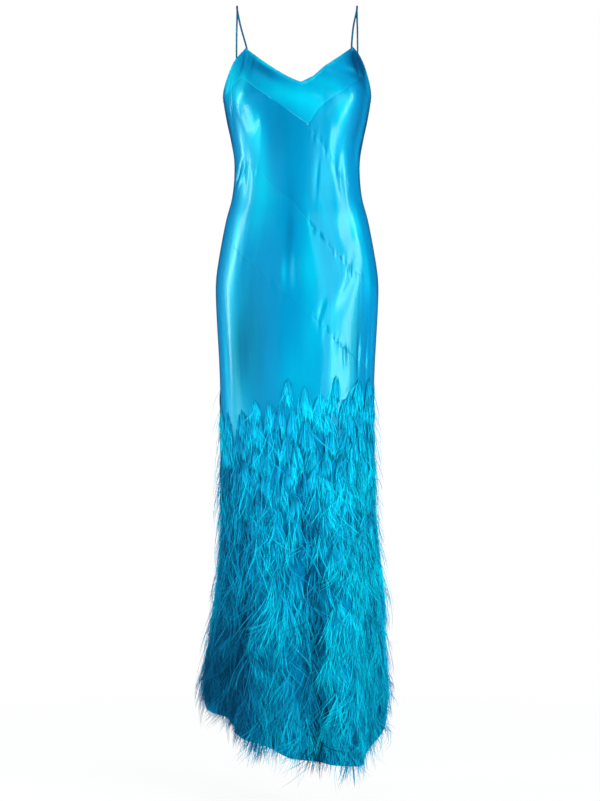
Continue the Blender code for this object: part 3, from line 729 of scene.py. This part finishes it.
def strandSet(kind, plume, number, chance):
    # a lock draws a heading, bend, root, lift, wave and shade, and each strand strays a little
    # from it; a path sums short steps along the heading, with a sine wave across that grows to
    # the tip, and its lift follows one minus the square of what is left of its length
    look = fringe["kinds"][kind]
    shape = (len(plume["turn"]), number)
    locks = (len(plume["turn"]), look["locks"])
    lock = chance.integers(0, look["locks"], shape)
    fan = plume["fan"]
    start = plume["lean"][:, None] + perLock(lock, chance.normal(0, fan * look["fan"], locks),
                                             chance.normal(0, fringe["strayStart"] * fan, shape))
    bend = perLock(lock, chance.normal(0, fan * look["bend"], locks),
                   chance.normal(0, fringe["strayEnd"] * fan, shape))
    end = fringe["straighten"] * start + bend
    low, high = look["long"]
    stray = fringe["strayLength"]
    length = plume["length"][:, None] * perLock(lock, chance.uniform(low, high - stray, locks),
                                                chance.uniform(-stray, stray, shape))
    low, high = look["lift"]
    stray = fringe["strayLift"]
    lift = plume["lift"][:, None] * perLock(lock, chance.uniform(low, high, locks),
                                            chance.uniform(-stray, stray, shape))
    lift = lift + perLock(lock, chance.uniform(*look["extra"], locks), 0)
    phase = perLock(lock, chance.uniform(0, 2 * np.pi, locks),
                    chance.normal(0, fringe["strayPhase"], shape))
    swing = look["wave"] * perLock(lock, chance.uniform(*fringe["swing"], locks), 0)
    rank = np.clip(perLock(lock, chance.uniform(0, fringe["lockRank"], locks),
                           chance.uniform(0, fringe["strayRank"], shape)), 0, 1)
    apart = perLock(lock, chance.normal(0, look["apart"], locks), 0)
    ownApart = chance.normal(0, fringe["strayApart"], shape)[..., None]
    t = np.array(look["rings"])
    middle = (t[1:] + t[:-1]) / 2
    heading = np.radians(start[..., None] + (end - start)[..., None] * middle)
    step = np.diff(t) * length[..., None]
    side = np.concatenate([0 * rank[..., None], np.cumsum(step * np.sin(heading), axis=-1)], -1)
    down = np.concatenate([0 * rank[..., None], np.cumsum(step * np.cos(heading), axis=-1)], -1)
    side = side + swing[..., None] * t * np.sin(fringe["waves"] * t + phase[..., None])
    least, more = fringe["widening"]
    widening = least + more * rank[..., None]
    side = side + widening * (apart[..., None] + ownApart * (1 - fringe["drawnIn"] * t))
    down = down + look["quill"] * rank[..., None]
    out = fringe["rootOff"] + lift[..., None] * (1 - (1 - t) ** 2)
    turn = plume["turn"][:, None, None] + side / plume["degree"][:, None, None]
    centre = onCloth(turn, plume["drop"][:, None, None] + down, out)

    along = np.gradient(centre, axis=2)
    along /= np.linalg.norm(along, axis=-1, keepdims=True)
    away = outward(plume["turn"], np.minimum(plume["drop"], fringe["lowestSlope"]))
    away = away[:, None, None]
    across = np.cross(along, away)
    across /= np.linalg.norm(across, axis=-1, keepdims=True)
    face = np.cross(across, along)
    girth = (np.array(look["girth"])[:, None]
             * chance.uniform(*fringe["girths"], shape)[..., None, None])
    rings = len(t) - 1
    body = centre[:, :, :rings]
    wide = across[:, :, :rings] * look["width"] * plume["broad"] * girth
    ridge = body + face[:, :, :rings] * look["thick"] * girth
    corners = np.stack([body - wide, ridge, body + wide], axis=3)
    points = np.concatenate([corners.reshape(*shape, 3 * rings, 3), centre[:, :, rings:]], axis=2)

    first = (np.arange(shape[0] * number) * (3 * rings + 1))[:, None, None]
    a, b = np.array([0, 1, 2]), np.array([1, 2, 0])
    band = np.stack([a, b, b + 3, a + 3], axis=1)
    bands = np.concatenate([band + 3 * k for k in range(rings - 1)])
    last = 3 * (rings - 1)
    tip = np.stack([a + last, b + last, np.full(3, 3 * rings)], axis=1)
    quads = (first + bands[None]).reshape(-1, 4)
    triangles = np.concatenate([(first + tip[None]).reshape(-1, 3), first[:, 0] + [2, 1, 0]])
    low, high = look["shade"]
    mixed = perLock(lock, chance.uniform(0, fringe["lockShade"], locks),
                    chance.uniform(0, look["ownShade"], shape))
    mixed = fringe["plumeShade"] * plume["shade"][:, None] + mixed
    # the plume's painted shade or painted light from the fringe spots, with its tier's tone, shifts
    # the shade
    shade = np.clip(low + (high - low) * mixed + plume["paintedShading"][:, None], 0, 1)[..., None]
    v = np.concatenate([np.repeat(t[:rings], 3), t[rings:]])
    uv = np.stack(np.broadcast_arrays(shade, v[None, None]), axis=-1)
    return points.reshape(-1, 3), quads, triangles, uv.reshape(-1, 2)


def featherTier(tier, row, material, chance):
    # plumes at uneven turns round the gown, their roots scattered between two tiers' lines
    plumes, numbers, length, fan, lift, spread, toneOf, broad = row
    turn = -sideTurn + 360.0 * (np.arange(plumes) + chance.uniform(0, 1, plumes)) / plumes
    spacing = tapeDrop(1, turn) - tapeDrop(0, turn)
    jitter = fringe["levelJitter"]
    level = (np.arange(plumes) * fringe["levelStep"]
             + chance.uniform(-jitter, jitter, plumes)) % 1.0
    drop = tapeDrop(tier, turn) + spacing * spread * (2 * level - 1)
    around = np.linalg.norm(skin(turn + 1, drop) - skin(turn - 1, drop), axis=-1) / 2
    longest = lineDrop("hem", turn) - drop + lineDrop("trail", turn)
    plume = {
        "turn": turn, "drop": drop, "degree": around, "fan": fan, "broad": broad,
        "lean": chance.normal(0, fringe["leanSpread"], plumes),
        "length": np.minimum(length * chance.uniform(*fringe["lengths"], plumes), longest),
        "lift": lift * chance.uniform(*fringe["lifts"], plumes),
        "shade": chance.uniform(0, 1, plumes),
        # painted shade and painted light from the fringe spots, plus the tier's tone
        "paintedShading": -creaseOut(turn, drop + length / 2, fringePaintedLight) + toneOf,
    }
    sets = [strandSet(kind, plume, number, chance)
            for kind, number in zip(fringe["kinds"], numbers)]
    starts = np.cumsum([0] + [len(s[0]) for s in sets[:-1]])
    polygons = [part + start for s, start in zip(sets, starts) for part in s[1:3]]
    piece = addMesh(f"featherTier{tier + 1}", np.concatenate([s[0] for s in sets]), polygons,
                    material, np.concatenate([s[3] for s in sets]))
    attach(piece, "root")
    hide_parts(f"feather_tier_{tier + 1}")
    return piece


ostrich = featherMaterial()
featherChance = np.random.default_rng(fringe["seed"])
featherPieces = [featherTier(tier, row, ostrich, featherChance)
                 for tier, row in enumerate(fringe["rows"])]
print("feather tiers:", len(featherPieces),
      "triangles:", sum(len(p.data.loops) - 2 * len(p.data.polygons) for p in featherPieces))

# Floor, lights, world and camera, in metres and degrees
studio = {
    "floorDrop": 1.625, "floorRadius": 9.0, "floorSides": 96,
    "floorColour": (0.92, 0.92, 0.92), "floorRoughness": 0.9,
    "floorFade": (0.2, 2.4), "floorWhite": 0.72,  # share of plain white at its middle
    "cameraAway": 4.5, "cameraAcross": 0.006, "cameraDrop": 0.806, "sensorHigh": 36.0,
    "metresHigh": 801 * 2.05 * mm,  # the picture's rows, each 2.05 mm high on the gown
    "ambient": 0.07, "ambientColour": (0.30, 0.85, 1.0),
    "lightsFace": (0, 0, -0.7),
    # turn and distance on the ground, drop, size across and up, roll, watts, colour
    "lights": {
        "right": (55, 2.4, 0.42, (0.52, 2.2), -34, 80, (1.0, 0.99, 0.97)),
        "left": (-84, 2.4, 0.15, (0.36, 1.8), -40, 56, (0.97, 0.99, 1.0)),
        "leftLow": (-62, 2.4, 1.25, (0.70, 0.50), 0, 29, (0.97, 0.99, 1.0)),
        "front": (30, 4.0, 0.1, (2.2, 2.2), 0, 72, (1.0, 1.0, 1.0)),
        "frontLeft": (-28, 4.0, 0.1, (2.2, 2.2), 0, 14, (1.0, 1.0, 1.0)),
        "top": (8, 0.9, -1.7, (1.2, 0.9), 0, 22, (1.0, 1.0, 1.0)),
        "behind": (175, 1.9, -2.2, (2.0, 1.4), 0, 26, (0.6, 0.9, 1.0)),
    },
}


def cameraRayMix(nodes, links, seen, lit, output):
    # one shader for what the camera sees directly, and one for what lights the gown
    path = nodes.new("ShaderNodeLightPath")
    mix = nodes.new("ShaderNodeMixShader")
    links.new(path.outputs["Is Camera Ray"], mix.inputs["Fac"])
    links.new(lit.outputs[0], mix.inputs[1])
    links.new(seen.outputs[0], mix.inputs[2])
    links.new(mix.outputs[0], output.inputs["Surface"])


def makeFloor():
    # a disc, pale and matt at its middle, that fades to plain white further out
    angle = np.linspace(0, 2 * np.pi, studio["floorSides"], endpoint=False)
    rim = np.stack([np.cos(angle), np.sin(angle), 0 * angle], axis=-1) * studio["floorRadius"] / mm
    rim[:, 2] = -studio["floorDrop"] / mm
    made, nodes, links, shader = newMaterial("paleFloor")
    shader.inputs["Base Color"].default_value = (*studio["floorColour"], 1)
    shader.inputs["Roughness"].default_value = studio["floorRoughness"]
    where = nodes.new("ShaderNodeTexCoord")
    away = nodes.new("ShaderNodeVectorMath")
    away.operation = "LENGTH"
    links.new(where.outputs["Object"], away.inputs[0])
    fade = nodes.new("ShaderNodeMapRange")
    near, far = studio["floorFade"]
    fade.inputs["From Min"].default_value = near
    fade.inputs["From Max"].default_value = far
    fade.inputs["To Min"].default_value = studio["floorWhite"]
    links.new(away.outputs["Value"], fade.inputs["Value"])
    white = nodes.new("ShaderNodeEmission")
    white.inputs["Color"].default_value = (1, 1, 1, 1)
    blend = nodes.new("ShaderNodeMixShader")
    links.new(fade.outputs["Result"], blend.inputs["Fac"])
    links.new(shader.outputs[0], blend.inputs[1])
    links.new(white.outputs[0], blend.inputs[2])
    cameraRayMix(nodes, links, blend, shader, nodes["Material Output"])
    floor = addMesh("studioFloor", rim, [np.arange(len(rim))[None]], made)


def makeWorld():
    # a faint blue-green light from all round, which the camera sees as plain white
    world = bpy.data.worlds.new("studioWorld")
    bpy.context.scene.world = world
    world.use_nodes = True
    nodes, links = world.node_tree.nodes, world.node_tree.links
    lit = nodes["Background"]
    lit.inputs["Color"].default_value = (*studio["ambientColour"], 1)
    lit.inputs["Strength"].default_value = studio["ambient"]
    seen = nodes.new("ShaderNodeBackground")
    seen.inputs["Color"].default_value = (1, 1, 1, 1)
    cameraRayMix(nodes, links, seen, lit, nodes["World Output"])


def makeLights():
    # each softbox faces the middle of the gown, rolled about the line to it
    target = Vector(studio["lightsFace"])
    for name, (turn, away, drop, size, roll, watts, colour) in studio["lights"].items():
        lamp = bpy.data.lights.new(name + "Softbox", "AREA")
        lamp.shape = "RECTANGLE"
        lamp.size, lamp.size_y = size
        lamp.energy = watts
        lamp.color = colour
        place = Vector((away * np.sin(np.radians(turn)), -away * np.cos(np.radians(turn)), -drop))
        rolled = Quaternion((0, 0, 1), np.radians(roll))
        lampObject = bpy.data.objects.new(name + "Softbox", lamp)
        lampObject.location = place
        lampObject.rotation_euler = (
            (target - place).to_track_quat("-Z", "Y") @ rolled).to_euler()
        bpy.context.scene.collection.objects.link(lampObject)


def makeCamera():
    # level with the picture's centre, so that the picture's height takes in metresHigh
    lens = bpy.data.cameras.new("camera")
    lens.sensor_fit = "VERTICAL"
    lens.sensor_height = studio["sensorHigh"]
    lens.lens = lens.sensor_height * studio["cameraAway"] / studio["metresHigh"]
    camera = bpy.data.objects.new("camera", lens)
    camera.location = (studio["cameraAcross"], -studio["cameraAway"], -studio["cameraDrop"])
    camera.rotation_euler = (np.pi / 2, 0, 0)
    bpy.context.scene.collection.objects.link(camera)
    bpy.context.scene.camera = camera


makeFloor()
makeWorld()
makeLights()
makeCamera()
bpy.context.scene.view_settings.view_transform = "Standard"
print("studio done")
